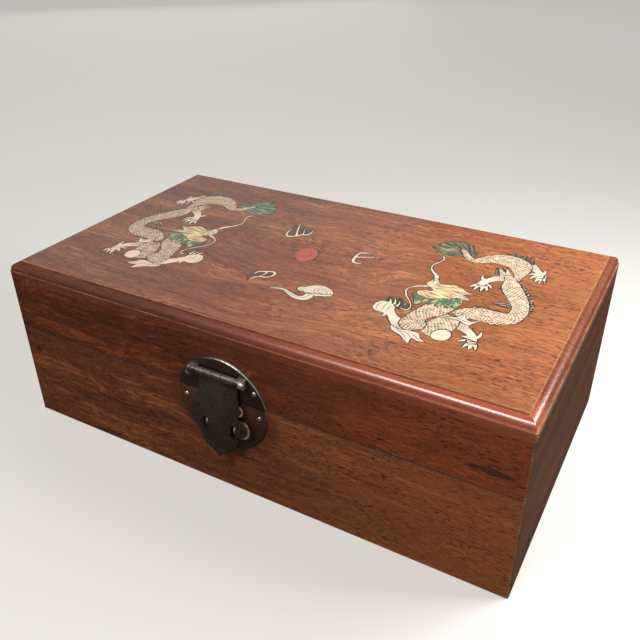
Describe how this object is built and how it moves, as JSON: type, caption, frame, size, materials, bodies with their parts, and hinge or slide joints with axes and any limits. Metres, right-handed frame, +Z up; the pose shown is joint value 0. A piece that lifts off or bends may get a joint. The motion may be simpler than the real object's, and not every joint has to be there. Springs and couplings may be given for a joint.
{
  "type": "inlaid document box",
  "caption": "Lidded hardwood box with mother-of-pearl dragon inlay, round lock plate, swinging hasp and rear leaf hinges.",
  "frame": {"origin": "centre of the flat underside", "axes": "+X along the front to the right, +Y from the front to the back, +Z up"},
  "size_m": [0.33, 0.2031, 0.1125],
  "materials": {
    "side_wood": "lacquered",
    "top_wood": "lacquered",
    "plain_wood": "bare",
    "bronze": "patinated",
    "brass": "worn",
    "cream_shell": "polished shell",
    "green_shell": "polished tinted shell",
    "yellow_shell": "polished tinted shell",
    "grey_shell": "polished shell",
    "rose_shell": "polished tinted shell"
  },
  "bodies": {
    "base": {"base_front_board": "side_wood", "base_back_board": "side_wood", "base_left_board": "side_wood", "base_right_board": "side_wood", "base_bottom_panel": "plain_wood", "lower_lock_plate": "bronze", "lower_plate_nails": "brass", "lock_staples": "brass", "left_hinge_base_leaf": "bronze", "right_hinge_base_leaf": "bronze", "base_leaf_nails": "brass", "left_hinge_pin": "brass", "right_hinge_pin": "brass"},
    "lid": {"lid_front_board": "side_wood", "lid_back_board": "side_wood", "lid_left_board": "side_wood", "lid_right_board": "side_wood", "lid_top_board": "top_wood", "upper_lock_plate": "bronze", "upper_plate_nails": "brass", "hasp_pin": "brass", "left_hinge_lid_leaf": "bronze", "right_hinge_lid_leaf": "bronze", "lid_leaf_nails": "brass", "pearl": "rose_shell", "flame_comb": "cream_shell", "flame_hook": "cream_shell", "small_cloud": "cream_shell", "ruyi_cloud": "cream_shell", "dark_fillings": "grey_shell", "left_dragon_head": "yellow_shell", "left_dragon_mane": "green_shell", "left_dragon_flames": "cream_shell", "left_dragon_neck": "cream_shell", "left_dragon_chest": "cream_shell", "left_dragon_flank": "cream_shell", "left_dragon_rump": "cream_shell", "left_dragon_tail_fin": "green_shell", "left_dragon_hind_legs": "cream_shell", "left_dragon_fore_legs": "cream_shell", "left_dragon_spines": "grey_shell", "left_dragon_whiskers": "cream_shell", "right_dragon_head": "yellow_shell", "right_dragon_mane": "green_shell", "right_dragon_flames": "cream_shell", "right_dragon_neck": "cream_shell", "right_dragon_chest": "cream_shell", "right_dragon_flank": "cream_shell", "right_dragon_rump": "cream_shell", "right_dragon_tail_fin": "green_shell", "right_dragon_hind_legs": "cream_shell", "right_dragon_fore_legs": "cream_shell", "right_dragon_spines": "grey_shell", "right_dragon_whiskers": "cream_shell"},
    "hasp": {"hasp": "bronze"}
  },
  "joints": [
    {"name": "lid_hinge", "type": "hinge", "parent": "base", "child": "lid", "pos_m": [0, 0.0977, 0.067], "axis": [-1, 0, 0], "range_deg": [0, 110]},
    {"name": "hasp_swing", "type": "hinge", "parent": "lid", "child": "hasp", "pos_m": [-0.0055, -0.09895, 0.0825], "axis": [-1, 0, 0], "range_deg": [-5.5, 180]}
  ]
}
